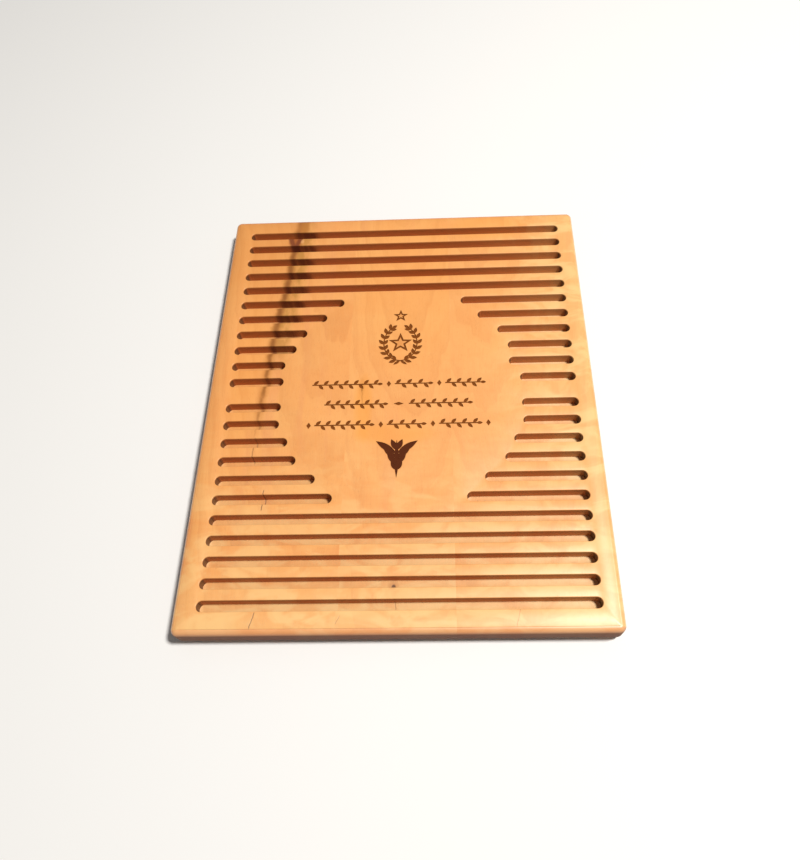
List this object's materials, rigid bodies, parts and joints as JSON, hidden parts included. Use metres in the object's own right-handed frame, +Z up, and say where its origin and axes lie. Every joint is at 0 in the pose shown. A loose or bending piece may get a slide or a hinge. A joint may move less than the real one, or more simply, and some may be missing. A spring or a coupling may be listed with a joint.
{
  "type": "coin display plaque",
  "caption": "Rectangular wooden award plaque with rows of routed coin slots around an engraved central field, lying flat on rubber feet.",
  "frame": {"origin": "on the resting surface, under the middle of the board", "axes": "+Z up out of the slotted face, +Y towards the plaque's top edge, +X to the right as the engraving is read"},
  "size_m": [0.2476, 0.3048, 0.0172],
  "materials": {
    "wood": "clear satin lacquer over amber hardwood, engraving burnt brown",
    "rubber": "matt black moulded rubber",
    "steel": "bright zinc plate"
  },
  "bodies": {
    "root": {"stave_left": "wood", "stave_center": "wood", "stave_right": "wood", "foot_front_left": "rubber", "foot_front_right": "rubber", "foot_rear_left": "rubber", "foot_rear_right": "rubber", "foot_washers": "steel", "foot_screws": "steel"}
  },
  "joints": []
}
